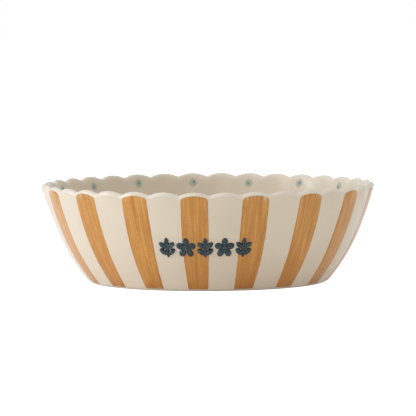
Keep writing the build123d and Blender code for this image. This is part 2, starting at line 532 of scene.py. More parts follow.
@dataclass(frozen=True)
class BrushedSlip:
    """Ochre slip brushed on to the clay, streaked by the bristles. Its sizes are in millimetres."""

    light: Colour = (0.690, 0.350, 0.084)
    dark: Colour = (0.440, 0.172, 0.024)
    rust: Colour = (0.37, 0.118, 0.02)
    edge: float = 0.1  # how far inside its outline the slip begins
    edge_soft: float = 0.45  # over which the edge fades
    edge_wander: float = 0.8  # that the edge wanders
    dry_end: float = 5.0  # over which the top end runs dry
    dryness: float = 0.7  # share that the bristles miss at the very top
    dry_seeds: tuple[float, float] = (0.25, 0.9)  # the first seed that runs dry, and the driest
    dry_streaks: tuple[float, float] = (0.45, 0.95)  # the streaks that the bristles miss
    pool_shade: float = 0.35
    painted_shade_reach: float = 34.0  # over which painted shade darkens the slip towards its foot, where the wall curves under
    # how dark the painted shade gets at the foot
    painted_shade_strength: float = 0.4
    foot_pool: float = 9.0  # over which it pools there
    foot_rust: float = 0.8
    side_line: tuple[float, float] = (1.5, 0.4)  # inside the edge, where its rust begins and is full
    side_rust: float = 0.28
    ridge: float = 1.6  # the streaks' height

    def material(
        self, skin: bpy.types.NodeTree, bristles: bpy.types.NodeTree, under: CreamGlaze
    ) -> bpy.types.Material:
        """Mixes the stripes' material.

        Args:
            skin: the shared group of glaze detail.
            bristles: the shared group of brush marks.
            under: the glaze that shows where there is no slip.

        Returns:
            The material, which reads the stripes' attributes stroke, inset, from_top, from_foot and seed.
        """
        graph = new_material("ochre_slip")
        cream = under.coat(graph, skin)
        inset, from_top, from_foot, seed = map(graph.attribute, ("inset", "from_top", "from_foot", "seed"))
        marks = graph.group(bristles, Stroke=graph.attribute("stroke", "Vector"), Seed=seed)
        streaks, pools = marks["Streaks"], marks["Pools"]

        reach = graph.math("ADD", inset, graph.product(marks["Wander"], self.edge_wander))
        cover = graph.ease(reach, self.edge, self.edge + self.edge_soft)
        dry = graph.ease(from_top, 0.0, self.dry_end, self.dryness, 0.0)
        gaps = graph.product(dry, graph.ease(seed, *self.dry_seeds), graph.ease(streaks, *self.dry_streaks))
        cover = graph.product(cover, graph.math("SUBTRACT", 1.0, gaps))

        body = graph.blend(streaks, self.dark, self.light)
        body = graph.blend(graph.product(pools, self.pool_shade), body, self.dark)
        # Painted shade: the slip darkens towards its foot, where the wall curves under.
        body = graph.blend(graph.ease(from_foot, self.painted_shade_reach, 0.0, 0.0, self.painted_shade_strength), body, self.dark)
        low = graph.product(graph.ease(from_foot, self.foot_pool, 0.0, 0.0, self.foot_rust), pools)
        side = graph.ease(inset, *self.side_line, 0.0, self.side_rust)
        body = graph.blend(graph.math("MAXIMUM", low, side), body, self.rust)
        return shiny(
            graph,
            colour=graph.blend(cover, cream["Colour"], body),
            roughness=cream["Roughness"],
            height=graph.math("MULTIPLY_ADD", streaks, self.ridge, cream["Height"]),
        )


@dataclass(frozen=True)
class SpotStain:
    """A grey-teal spot that bleeds into the glaze. Its sizes are in millimetres."""

    core: Colour = (0.050, 0.140, 0.155)
    halo: Colour = (0.34, 0.40, 0.335)
    core_size: float = 1.35  # from the middle
    core_soft: float = 0.3  # share of its size where it is full
    core_strength: float = 0.95
    core_drift: float = 2.2  # how far off the middle the dark part can sit
    drift_slope: float = -0.7  # how far up it goes for each millimetre aside
    halo_size: float = 3.9
    halo_soft: float = 0.5
    halo_strength: float = 0.85
    bleed: float = 1.9  # how far the edges wander
    bleed_scale: float = 0.55  # lumps to a millimetre
    seed_reach: float = 19.0

    def material(self, skin: bpy.types.NodeTree, under: CreamGlaze) -> bpy.types.Material:
        """Mixes the spots' material.

        Args:
            skin: the shared group of glaze detail.
            under: the glaze around the spot.

        Returns:
            The material, which reads the spots' attributes stroke and seed.
        """
        graph = new_material("teal_spot")
        cream = under.coat(graph, skin)
        stroke, seed = graph.attribute("stroke", "Vector"), graph.attribute("seed")
        shift = graph.xyz(0.0, 0.0, graph.product(seed, self.seed_reach))
        bleed = graph.noise(graph.vector("ADD", stroke, shift), self.bleed_scale, 3.0, 0.6)
        uneven = graph.product(graph.math("SUBTRACT", bleed, 0.5), self.bleed)

        def round_patch(place: Socket, size: float, soft: float, strength: float) -> Socket:
            """Makes a round patch with an uneven edge.

            Args:
                place: the vector from its middle.
                size: its radius.
                soft: share of the radius where it is full.
                strength: how strong it is there.

            Returns:
                The patch's strength.
            """
            away = graph.math("ADD", uneven, graph.length(place))
            return graph.ease(away, size, size * soft, 0.0, strength)

        halo = round_patch(stroke, self.halo_size, self.halo_soft, self.halo_strength)
        aside = graph.product(graph.math("SUBTRACT", seed, 0.5), self.core_drift)
        drifted = graph.vector("ADD", stroke, graph.xyz(aside, graph.product(aside, self.drift_slope), 0.0))
        core = round_patch(drifted, self.core_size, self.core_soft, self.core_strength)
        return shiny(
            graph,
            colour=graph.blend(halo, cream["Colour"], graph.blend(core, self.halo, self.core)),
            roughness=cream["Roughness"],
            height=cream["Height"],
        )


@dataclass(frozen=True)
class TealGlaze(Glaze):
    """Dark teal glaze that breaks lighter over the high parts of the clay."""

    colour: Colour = (0.008, 0.020, 0.032)
    cloud: Colour = (0.018, 0.052, 0.066)
    speck: Colour = (0.080, 0.155, 0.150)  # the lighter teal of the breaks as well
    cloud_size: float = 5 * MM
    specks: float = 0.5
    high_part: tuple[float, float] = (0.55, 1.0)  # share of a sprig's height where breaks begin and are full
    patches: float = 650.0  # to a metre
    patch_edge: tuple[float, float] = (0.42, 0.68)
    break_strength: float = 0.8
    patch_depth: float = 2.0

    def material(self, skin: bpy.types.NodeTree) -> bpy.types.Material:
        """Mixes the sprigs' material.

        Args:
            skin: the shared group of glaze detail.

        Returns:
            The material, which reads the sprigs' attribute rise.
        """
        graph = new_material("teal_glaze")
        coat = self.coat(graph, skin)
        patchy = graph.noise(graph.place(), self.patches, 3.0, 0.65)
        high = graph.ease(graph.attribute("rise"), *self.high_part)
        breaks = graph.product(high, graph.ease(patchy, *self.patch_edge), self.break_strength)
        return shiny(
            graph,
            colour=graph.blend(breaks, coat["Colour"], self.speck),
            roughness=coat["Roughness"],
            height=graph.math("MULTIPLY_ADD", patchy, self.patch_depth, coat["Height"]),
        )


def new_material(name: str) -> Graph:
    """Starts a material.

    Args:
        name: the material's name.

    Returns:
        The empty graph to build it in.
    """
    material = bpy.data.materials.new(name)
    material.use_nodes = True
    material.node_tree.nodes.clear()
    return Graph(material.node_tree)


def shiny(
    graph: Graph, colour: Socket, roughness: Socket, height: Socket, coat: object = CLEAR_COAT
) -> bpy.types.Material:
    """Closes a material with the fired glaze's shader.

    Args:
        graph: the material's graph.
        colour: the base colour.
        roughness: the roughness.
        height: the skin's height, in hundredths of a millimetre or so.
        coat: how much clear glaze lies over it, from 0 to 1.

    Returns:
        The finished material.
    """
    bump = {"Height": height, "Strength": BUMP_STRENGTH, "Distance": BUMP_DEPTH}
    shader = graph.node(
        "ShaderNodeBsdfPrincipled",
        {
            "Base Color": colour,
            "Roughness": roughness,
            "IOR": GLAZE_IOR,
            "Coat Weight": coat,
            "Coat Roughness": COAT_ROUGHNESS,
            "Coat IOR": COAT_IOR,
            "Normal": graph.result("ShaderNodeBump", bump),
        },
    )
    return graph.surface(shader)


# ---------------------------------------------------------------------------------------------
# The clay body
# ---------------------------------------------------------------------------------------------


def lean_out(lean: float) -> Vector:
    """Unit vector square to a wall of this lean in degrees, away from the bowl's axis."""
    turn = math.radians(lean)
    return Vector((math.cos(turn), 0.0, -math.sin(turn)))


def lean_up(lean: float) -> Vector:
    """Unit vector up a wall of this lean in degrees."""
    turn = math.radians(lean)
    return Vector((math.sin(turn), 0.0, math.cos(turn)))


@dataclass
class Section:
    """The bowl's upright section, from under the middle of the floor round to its top."""

    height: float
    mouth_radius: float
    foot_radius: float = 85.0 * MM
    heel_round: float = 8.3 * MM
    heel_lean: float = 40.0
    rim_lean: float = 14.5
    wall: float = 5.2 * MM
    floor_level: float = 8.5 * MM
    inside_corner: float = 16.0 * MM
    foot_width: float = 6.0 * MM
    foot_depth: float = 2.5 * MM
    ring_spread: float = 0.5 * MM  # how far the ring spreads inwards where it meets the table
    recess_taper: float = 2.5 * MM  # how much further in the recess begins, at its own floor
    lip_rise: float = 2.5 * MM  # the lip's round, from the wall's end to its top
    highlight_band: float = 3.2 * MM  # height of the lip that carries a painted highlight, where its round catches the light
    highlight_fade: float = 1.6 * MM  # the lower part of it, over which the painted highlight fades in
    bare_edge: float = 1.5 * MM  # how far in from the foot ring the glaze is wiped off
    bare_height: float = 0.45 * MM  # and how far up
    recess_rows: int = 5
    wall_rows: int = 30
    lip_rows: int = 20
    round_rows: int = 10
    floor_rows: int = 9

    def arcs(self) -> tuple[tuple[Vector, float], tuple[Vector, float], float]:
        """Works out the wall's two tangent arcs.

        Returns:
            The lower and the upper arc, each as centre and radius, and the lean where they meet.
        """
        start = Vector((self.foot_radius, 0, self.heel_round)) + lean_out(self.heel_lean) * self.heel_round
        end = Vector((self.mouth_radius, 0, self.height))
        low, high = lean_up(self.heel_lean), lean_up(self.rim_lean)
        chord = end - start
        along, bend = chord.dot(low + high), 2 * (1 - low.dot(high))
        tangent = (math.sqrt(along**2 + bend * chord.dot(chord)) - along) / bend
        joint = (start + end + (low - high) * tangent) / 2
        low_arc = self.arc(start, self.heel_lean, joint)
        high_arc = self.arc(end, self.rim_lean, joint)
        return low_arc, high_arc, math.degrees(math.asin((low_arc[0].z - joint.z) / low_arc[1]))

    @staticmethod
    def arc(start: Vector, lean: float, end: Vector) -> tuple[Vector, float]:
        """Finds the arc that leaves a point at a lean and passes through another.

        Args:
            start: the first point.
            lean: the arc's lean there, in degrees.
            end: the other point.

        Returns:
            The arc's centre and radius.
        """
        inward = -lean_out(lean)
        chord = end - start
        radius = chord.dot(chord) / (2 * inward.dot(chord))
        return start + inward * radius, radius

    def wall_point(self, lean: float, inset: float) -> Vector:
        """Finds a point of the wall.

        Args:
            lean: the wall's lean there, in degrees.
            inset: how far the point is moved towards the axis.

        Returns:
            The point.
        """
        low_arc, high_arc, joint_lean = self.arcs()
        centre, radius = low_arc if lean > joint_lean else high_arc
        return centre + lean_out(lean) * (radius - inset)

    def lip_lean(self) -> float:
        """Finds where the lip's round begins, so that the lip's top is at full height.

        Returns:
            The wall's lean there, in degrees.
        """
        centre, radius = self.arcs()[1]
        tilt = math.radians(self.rim_lean)
        above = math.hypot(self.wall / 2 * math.sin(tilt), self.lip_rise * math.cos(tilt))
        return math.degrees(math.asin((centre.z - self.height + above) / (radius - self.wall / 2)))

    def corner_lean(self) -> float:
        """Finds where the floor's round meets the inner wall.

        Returns:
            The wall's lean there, in degrees.
        """
        centre, radius = self.arcs()[0]
        rise = centre.z - self.floor_level - self.inside_corner
        return math.degrees(math.asin(rise / (radius - self.wall - self.inside_corner)))

    def lean_at(self, level: float) -> float:
        """Finds the outer wall's lean at a height.

        Args:
            level: the height.

        Returns:
            The lean in degrees.
        """
        (low_centre, low_radius), (high_centre, high_radius), joint_lean = self.arcs()
        lean = math.degrees(math.asin((low_centre.z - level) / low_radius))
        if lean > joint_lean:
            return lean
        return math.degrees(math.asin((high_centre.z - level) / high_radius))

    def foot(self) -> list[Vector]:
        """Draws the underside, the inner edge of the foot ring and its flat.

        Returns:
            Their points, from the axis outwards.
        """
        ring = self.foot_radius - self.foot_width
        flat = [Vector((ring * i / self.recess_rows, 0, self.foot_depth)) for i in range(self.recess_rows)]
        edge = []
        for i in range(self.round_rows + 1):
            share = i / self.round_rows
            drop = (1 - math.cos(math.pi * share)) / 2
            x = ring - self.ring_spread - self.recess_taper * (1 - share)
            edge.append(Vector((x, 0, self.foot_depth * (1 - drop))))
        return [*flat, *edge, Vector((ring + self.foot_width / 2, 0, 0))]

    def heel(self) -> list[Vector]:
        """Draws the round from the foot ring up to the wall.

        Returns:
            Its points, upwards.
        """
        centre = Vector((self.foot_radius, 0, self.heel_round))
        steps = [90 - (90 - self.heel_lean) * i / self.round_rows for i in range(self.round_rows)]
        return [centre + lean_out(step) * self.heel_round for step in steps]

    def wall_line(self, first: float, last: float, inset: float) -> list[Vector]:
        """Points up the wall from one lean to another, moved towards the axis by inset."""
        leans = [first + (last - first) * i / self.wall_rows for i in range(self.wall_rows)]
        return [self.wall_point(lean, inset) for lean in leans]

    def lip(self) -> list[Vector]:
        """Draws the lip's round over the top of the wall.

        Returns:
            Its points, from the outer to the inner face.
        """
        lean = self.lip_lean()
        centre = self.wall_point(lean, self.wall / 2)
        points = []
        for i in range(self.lip_rows + 1):
            turn = math.pi * i / self.lip_rows
            out = lean_out(lean) * (self.wall / 2 * math.cos(turn))
            points.append(centre + out + lean_up(lean) * (self.lip_rise * math.sin(turn)))
        return points

    def corner(self) -> list[Vector]:
        """Draws the round between the inner wall and the floor.

        Returns:
            Its points, downwards.
        """
        lean = self.corner_lean()
        centre = self.wall_point(lean, self.wall) - lean_out(lean) * self.inside_corner
        steps = [lean + (90 - lean) * i / self.round_rows for i in range(self.round_rows + 1)]
        return [centre + lean_out(step) * self.inside_corner for step in steps]

    def piece(self) -> bpy.types.Object:
        """Joins the section's parts in a chain of edges.

        Returns:
            The chain, with the attributes lip, the band of painted highlight, and bare on its points.
        """
        outside = self.wall_line(self.heel_lean, self.lip_lean(), 0.0)
        inside = self.wall_line(self.corner_lean(), self.lip_lean(), self.wall)[:0:-1]
        corner = self.corner()
        floor = [corner[-1] * (1 - i / self.floor_rows) for i in range(1, self.floor_rows + 1)]
        for point in floor:
            point.z = self.floor_level
        foot, heel, lip = self.foot(), self.heel(), self.lip()
        points = [*foot, *heel, *outside, *lip, *inside, *corner, *floor]
        chain = [(i, i + 1) for i in range(len(points) - 1)]
        piece = new_piece("section", points, chain, [])
        # The attribute lip marks the band of painted highlight over the lip's lit round.
        highlight_from = self.height - self.highlight_band
        bare = piece.data.attributes.new("bare", "FLOAT", "POINT")
        lip_highlight = piece.data.attributes.new("lip", "FLOAT", "POINT")
        wiped_from = self.foot_radius - self.foot_width - self.bare_edge
        for i, point in enumerate(points):
            bare.data[i].value = float(wiped_from < point.x and point.z < self.bare_height)
            lip_highlight.data[i].value = min(max((point.z - highlight_from) / self.highlight_fade, 0.0), 1.0)
        return piece


@dataclass
class BowlBody:
    """The thrown clay body: wall, floor, foot ring and scalloped rim."""

    section: Section
    scallops: int = 34
    columns_per_scallop: int = 20
    rise: float = 2.75 * MM  # crest above the sharp valley
    valley_soft: float = 2.4 * MM
    rim_band: float = 16.0 * MM  # height of the wall that rises and falls with the scallops
    crest_band: float = 2.5 * MM  # the top of it, which moves with them whole
    lobe: float = 0.3 * MM  # how far each scallop swells out of the wall
    wobble: float = 0.45 * MM  # unevenness of a hand-thrown wall
    wobble_scale: float = 14.0  # lumps to a metre
    firm_foot: float = 30 * MM  # height over which the wobble grows from nothing
    rim_wobble: float = 0.6  # the rim's rise and fall, as a share of the wall's
    seed: float = 3.7
    weld: float = 0.002 * MM
    node: str = "bowl_body"

    @property
    def scallop_width(self) -> float:
        """One scallop's width, straight across from valley to valley, at the middle of the wall."""
        middle = self.section.mouth_radius - self.section.wall / 2
        return 2 * middle * math.tan(math.pi / self.scallops)

    @property
    def scallop_radius(self) -> float:
        """Radius of a scallop's round top."""
        half = self.scallop_width / 2
        return (half**2 + self.rise**2) / (2 * self.rise)

    def tree(self) -> bpy.types.NodeTree:
        """Builds the geometry tree that turns a section into a scalloped bowl.

        Returns:
            The tree.
        """
        sizes = ("Scallop Width", "Scallop Radius", "Valley Soft", "Height", "Rim Band", "Rim Lean")
        inputs = {"Section": "Geometry", "Scallops": "Int", "Columns": "Int"}
        inputs |= dict.fromkeys((*sizes, "Lobe", "Wobble", "Seed"), "Float")
        inputs["Glaze"] = "Material"
        graph = new_group("thrown_bowl", "GeometryNodeTree", inputs, {"Bowl": "Geometry"})
        own = graph.own
        rows = graph.node("GeometryNodeAttributeDomainSize", {"Geometry": own("Section")})
        rows = rows.outputs["Point Count"]
        counts = {"Vertices X": graph.math("ADD", own("Columns"), 1), "Vertices Y": rows}
        sheet = graph.result("GeometryNodeMeshGrid", {"Size X": 1.0, "Size Y": 1.0, **counts})

        # Across the sheet is once round the bowl, and up it is along the section.
        place = graph.result("GeometryNodeInputPosition")
        across, along, _ = graph.split(place)
        turns = graph.math("ADD", across, 0.5)
        last = graph.math("SUBTRACT", rows, 1)
        row = graph.math("ROUND", graph.product(graph.math("ADD", along, 0.5), last))

        def sampled(value: Socket, kind: str) -> Socket:
            """A value of the section, read at this row."""
            inputs = {"Geometry": own("Section"), "Value": value, "Index": row}
            return graph.result("GeometryNodeSampleIndex", inputs, data_type=kind)

        radius, _, level = graph.split(sampled(place, "FLOAT_VECTOR"))
        angle = graph.math("MULTIPLY_ADD", turns, 2 * math.pi, math.radians(FRONT))
        phase = graph.math("FRACT", graph.product(turns, own("Scallops")))
        near = graph.math("ABSOLUTE", graph.math("SUBTRACT", phase, 0.5))

        def below_crest(share: Socket) -> Socket:
            """Works out how far a round top has fallen beside its crest.

            Args:
                share: how far away the crest is, as a share of a scallop's width.

            Returns:
                The drop.
            """
            away, size = graph.product(share, own("Scallop Width")), own("Scallop Radius")
            left = graph.math("SUBTRACT", graph.product(size, size), graph.product(away, away))
            return graph.math("SUBTRACT", size, graph.math("SQRT", left))

        # The rim falls away on both sides of each crest, and takes the top of the wall with it.
        far = graph.math("SUBTRACT", 1.0, near)
        drop = graph.math("SMOOTH_MIN", below_crest(near), below_crest(far), own("Valley Soft"))
        bands = (own("Rim Band"), self.crest_band)
        moves = graph.ease(level, *(graph.math("SUBTRACT", own("Height"), band) for band in bands))
        drop = graph.product(drop, moves)

        def around(distance: Socket, height: Socket) -> Socket:
            """Places a point at this column's angle.

            Args:
                distance: how far it is from the axis.
                height: how far it is above the table.

            Returns:
                The point.
            """
            east, north = (graph.product(distance, graph.math(way, angle)) for way in ("COSINE", "SINE"))
            return graph.xyz(east, north, height)

        # The wall wobbles more the further it is from the wheel, and swells under each crest.
        lumps = graph.vector("ADD", around(radius, level), graph.xyz(0.0, 0.0, own("Seed")))
        lumps = graph.math("SUBTRACT", graph.noise(lumps, self.wobble_scale), 0.5)
        firm = graph.ease(level, 0.0, self.firm_foot)
        uneven = graph.product(lumps, own("Wobble"), 2.0, firm)
        swell = graph.product(graph.math("COSINE", graph.product(near, 2 * math.pi)), own("Lobe"), moves)
        slope_in = graph.product(drop, graph.math("SINE", own("Rim Lean")))
        slope_down = graph.product(drop, graph.math("COSINE", own("Rim Lean")))
        out = graph.math("ADD", radius, graph.math("ADD", uneven, swell))
        up = graph.math("ADD", level, graph.product(uneven, moves, self.rim_wobble))
        final = around(graph.math("SUBTRACT", out, slope_in), graph.math("SUBTRACT", up, slope_down))

        # The lip's band of painted highlight and the bare foot are carried over from the section.
        kept = sheet
        for name in ("lip", "bare"):
            read = graph.node("GeometryNodeInputNamedAttribute", {"Name": name}, data_type="FLOAT")
            value = sampled(read.outputs["Attribute"], "FLOAT")
            store = {"Geometry": kept, "Name": name, "Value": value}
            kept = graph.result("GeometryNodeStoreNamedAttribute", store, data_type="FLOAT")
        shaped = graph.result("GeometryNodeSetPosition", {"Geometry": kept, "Position": final})
        closed = graph.result("GeometryNodeMergeByDistance", {"Geometry": shaped, "Distance": self.weld})
        graph.finish(Bowl=graph.dress(closed, "Glaze"))
        return graph.tree

    def build(self, glaze: bpy.types.Material) -> bpy.types.Object:
        """Throws the bowl.

        Args:
            glaze: the cream glaze.

        Returns:
            The finished body, which stands for the CAD body.
        """
        piece = self.section.piece()
        piece.name = "glazed_bowl"
        settle(
            piece,
            self.tree(),
            Scallops=self.scallops,
            Columns=self.scallops * self.columns_per_scallop,
            Scallop_Width=self.scallop_width,
            Scallop_Radius=self.scallop_radius,
            Valley_Soft=self.valley_soft,
            Height=self.section.height,
            Rim_Band=self.rim_band,
            Rim_Lean=math.radians(self.section.rim_lean),
            Lobe=self.lobe,
            Wobble=self.wobble,
            Seed=self.seed,
            Glaze=glaze,
        )
        stand_for(piece, "cream_glaze", self.node)
        return piece


def stand_for(piece: bpy.types.Object, slot: str, *nodes: str) -> None:
    """Rides a finished piece on the bowl and lets it stand for its CAD nodes.

    Args:
        piece: the piece.
        slot: its material slot's name; not used.
        *nodes: the CAD nodes that it stands for.
    """
    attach(piece, BODY)
    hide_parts(*nodes)
    log.info("%s: %d points, %d faces", piece.name, len(piece.data.vertices), len(piece.data.polygons))


# ---------------------------------------------------------------------------------------------
# What lies on the wall
# ---------------------------------------------------------------------------------------------


class Face(Enum):
    """The face of the wall that a piece lies on."""

    OUTSIDE = "outside"
    INSIDE = "inside"


@dataclass
class Wall:
    """The finished wall, and the tree that lays flat pieces on it.

    A flat piece is drawn in its own X across the wall, Y up from the table, and Z off the wall.
    """

    bowl: bpy.types.Object
    section: Section
    clear: float = 0.4  # distance in front of the axis that is outside the bowl
    low_level: float = 10 * MM  # the wall's lean is measured here and at its top
    trees: dict[Face, bpy.types.NodeTree] = field(default_factory=dict)

    def tree(self, face: Face) -> bpy.types.NodeTree:
        """Gives the tree that lays a flat piece on one face of the wall, made once.

        Args:
            face: the face of the wall.

        Returns:
            The geometry tree.
        """
        if face not in self.trees:
            self.trees[face] = self.make_tree(face)
        return self.trees[face]

    def make_tree(self, face: Face) -> bpy.types.NodeTree:
        """Builds the tree for one face.

        Args:
            face: the face of the wall.

        Returns:
            The tree. It throws each point straight at the wall and lifts it square off the clay.
        """
        inputs = {"Flat": "Geometry", "Bowl": "Object"}
        inputs |= dict.fromkeys(("Turn", "Low Level", "High Level", "Low Lean", "High Lean", "Seed"), "Float")
        inputs["Finish"] = "Material"
        graph = new_group(f"lay_{face.value}", "GeometryNodeTree", inputs, {"Laid": "Geometry"})
        own = graph.own
        across, level, off = graph.split(graph.result("GeometryNodeInputPosition"))
        outside = face is Face.OUTSIDE
        start = graph.xyz(across, -self.clear if outside else 0.0, level)
        towards = (0.0, 1.0, 0.0) if outside else (0.0, -1.0, 0.0)

        def turned(vector: object) -> Socket:
            """A vector turned about the bowl's axis to where the piece goes."""
            inputs = {"Vector": vector, "Angle": own("Turn")}
            return graph.result("ShaderNodeVectorRotate", inputs, rotation_type="Z_AXIS")

        # Each point is thrown at the wall along Y, and lands where it meets the clay.
        bowl = graph.node("GeometryNodeObjectInfo", {"Object": own("Bowl")})
        cast = {
            "Target Geometry": bowl.outputs["Geometry"],
            "Source Position": turned(start),
            "Ray Direction": turned(towards),
            "Ray Length": 1.0,
        }
        hit = graph.node("GeometryNodeRaycast", cast).outputs["Hit Position"]
        east, north, _ = graph.split(hit)
        away = graph.vector("NORMALIZE", graph.xyz(east, north, 0.0))

        # There it is lifted square off the wall, whose lean goes evenly from low to high.
        levels = {"From Min": own("Low Level"), "From Max": own("High Level")}
        leans = {"To Min": own("Low Lean"), "To Max": own("High Lean")}
        lean = graph.result("ShaderNodeMapRange", {"Value": level, **levels, **leans})
        down = graph.xyz(0.0, 0.0, graph.product(graph.math("SINE", lean), -1.0))
        square = graph.vector("ADD", graph.scaled(away, graph.math("COSINE", lean)), down)
        lift = graph.scaled(square, off if outside else graph.product(off, -1.0))
        store = {"Geometry": own("Flat"), "Name": "seed", "Value": own("Seed")}
        kept = graph.result("GeometryNodeStoreNamedAttribute", store, data_type="FLOAT")
        moved = {"Geometry": kept, "Position": graph.vector("ADD", hit, lift)}
        graph.finish(Laid=graph.dress(graph.result("GeometryNodeSetPosition", moved), "Finish"))
        return graph.tree

    def lay(
        self, flat: bpy.types.Object, face: Face, turn: float, seed: float, finish: bpy.types.Material
    ) -> None:
        """Lays a flat piece on the wall.

        Args:
            flat: the piece, drawn flat.
            face: the face of the wall that it goes on.
            turn: degrees round the bowl from its front, anticlockwise from above.
            seed: a number of its own, for its brush marks.
            finish: its material.
        """
        low, high = self.low_level, self.section.height
        settle(
            flat,
            self.tree(face),
            Bowl=self.bowl,
            Turn=math.radians(turn),
            Low_Level=low,
            High_Level=high,
            Low_Lean=math.radians(self.section.lean_at(low)),
            High_Lean=math.radians(self.section.lean_at(high)),
            Seed=seed,
            Finish=finish,
        )


def smooth_step(value: float, low: float, high: float) -> float:
    """Works out an even S between two values.

    Args:
        value: the value.
        low: where the S begins, at 0.
        high: where it ends, at 1.

    Returns:
        The height of the S.
    """
    share = min(max((value - low) / (high - low), 0.0), 1.0)
    return share * share * (3 - 2 * share)


def closed_sheet(
    name: str, columns: int, rows: int, place: Callable[[float, float], tuple[float, float, float, float]]
) -> bpy.types.Object:
    """A closed pad of little depth: a top sheet and an under sheet that share their edge.

    Args:
        name: the piece's name.
        columns: faces across.
        rows: faces up.
        place: gives x, y, the top's and the underside's height for shares across and up of 0 to 1.

    Returns:
        The pad, with its faces pointing outwards.
    """
    points, index = [], {}
    for side in (0, 1):
        for i in range(columns + 1):
            for j in range(rows + 1):
                edge = i in (0, columns) or j in (0, rows)
                if side and edge:
                    index[side, i, j] = index[0, i, j]
                    continue
                x, y, top, under = place(i / columns, j / rows)
                index[side, i, j] = len(points)
                points.append((x, y, under if side or edge else top))
    faces = []
    for i in range(columns):
        for j in range(rows):
            ring = [(i, j), (i + 1, j), (i + 1, j + 1), (i, j + 1)]
            faces.append([index[0, a, b] for a, b in ring])
            faces.append([index[1, a, b] for a, b in reversed(ring)])
    return new_piece(name, points, [], faces)


def note(piece: bpy.types.Object, name: str, values: Sequence[float | tuple[float, float, float]]) -> None:
    """Keeps one value a point as an attribute of the piece.

    Args:
        piece: the piece.
        name: the attribute's name.
        values: a number or a vector for each point.
    """
    vectors = isinstance(values[0], tuple)
    layer = piece.data.attributes.new(name, "FLOAT_VECTOR" if vectors else "FLOAT", "POINT")
    for item, value in zip(layer.data, values):
        if vectors:
            item.vector = value
        else:
            item.value = value


@dataclass
class SlipStripes:
    """The ochre bands, one on every second scallop."""

    body: BowlBody
    count: int = 17
    top_half: float = 10.3 * MM
    middle_half: float = 9.95 * MM
    foot_half: float = 7.5 * MM
    corner: float = 2.2 * MM
    top_gap: float = 2.0 * MM  # below the crest, in height
    foot_level: float = 1.2 * MM
    thickness: float = 0.16 * MM
    margin: float = 0.5 * MM  # how far the pad runs on past the brushed edge
    swell: tuple[float, float] = (-0.3 * MM, 1.2 * MM)  # inside the edge, where it rises and is full
    tuck: float = 0.03 * MM  # how deep the pad's edge lies in the clay
    underside: float = 0.25 * MM  # how deep its underside lies
    aside: float = 0.25  # how far clockwise of the front the first stripe is, as a share of their pitch
    first_seed: float = 0.15
    seed_step: float = 0.7071
    columns: int = 26
    rows: int = 64

    def half_width(self, level: float) -> float:
        """Works out half of a stripe's width, whose bowed side goes through three widths.

        Args:
            level: the height.

        Returns:
            Half of the width there.
        """
        top = self.body.section.height - self.top_gap
        share = (level - self.foot_level) / (top - self.foot_level)
        low = 2 * (share - 0.5) * (share - 1) * self.foot_half
        middle = -4 * share * (share - 1) * self.middle_half
        high = 2 * share * (share - 0.5) * self.top_half
        return low + middle + high

    def top_level(self, across: float) -> float:
        """Works out the height of a stripe's round top.

        Args:
            across: the distance from the stripe's middle.

        Returns:
            The height.
        """
        radius = self.body.scallop_radius - self.top_gap
        centre = self.body.section.height - self.body.scallop_radius
        return centre + math.sqrt(radius**2 - across**2)

    def inset(self, across: float, level: float) -> float:
        """Works out how far a point lies inside the outline, with its upper corners rounded.

        Args:
            across: the point's distance from the stripe's middle.
            level: its height.

        Returns:
            The distance, below 0 outside.
        """
        side = self.half_width(level) - abs(across)
        top = self.top_level(min(abs(across), self.top_half + self.margin)) - level
        if side < self.corner and top < self.corner:
            inner = self.corner - math.hypot(self.corner - side, self.corner - top)
        else:
            inner = min(side, top)
        return min(inner, level - self.foot_level)

    def flat(self, name: str) -> bpy.types.Object:
        """Draws one stripe flat.

        Args:
            name: the stripe's name.

        Returns:
            The stripe, with what its brush marks need kept on its points.
        """

        def place(i: float, j: float) -> tuple[float, float, float, float]:
            """Places the pad's points. The under sheet and the edge lie just inside the clay.

            Args:
                i: the share across.
                j: the share up.

            Returns:
                The point's x and y, and the top's and the underside's height.
            """
            low = self.foot_level - self.margin
            guess = (self.top_half + self.margin) * (2 * i - 1)
            high = self.top_level(guess) + self.margin
            level = low + (high - low) * j
            x = (self.half_width(level) + self.margin) * (2 * i - 1)
            rise = smooth_step(self.inset(x, level), *self.swell)
            return x, level, rise * self.thickness - self.tuck, -self.underside

        piece = closed_sheet(name, self.columns, self.rows, place)
        points = [vertex.co.copy() for vertex in piece.data.vertices]
        spread = [self.middle_half / self.half_width(p.y) / MM for p in points]
        note(piece, "stroke", [(p.x * wide, p.y / MM, 0.0) for p, wide in zip(points, spread)])
        note(piece, "inset", [self.inset(p.x, p.y) / MM for p in points])
        tops = [self.top_level(min(abs(p.x), self.top_half)) for p in points]
        note(piece, "from_top", [(top - p.y) / MM for p, top in zip(points, tops)])
        note(piece, "from_foot", [(p.y - self.foot_level) / MM for p in points])
        return piece

    def turn(self, i: int) -> float:
        """Degrees from the front to a stripe's middle."""
        return 360 / self.count * (i - self.aside)

    def build(self, wall: Wall, finish: bpy.types.Material) -> None:
        """Brushes every stripe on to the wall.

        Args:
            wall: the finished wall.
            finish: the slip.
        """
        for i in range(self.count):
            piece = self.flat(f"brushed_stripe_{i + 1:02d}")
            seed = (self.first_seed + self.seed_step * i) % 1.0
            wall.lay(piece, Face.OUTSIDE, self.turn(i), seed, finish)
            stand_for(piece, "ochre_slip", f"slip_stripe_{i + 1:02d}")


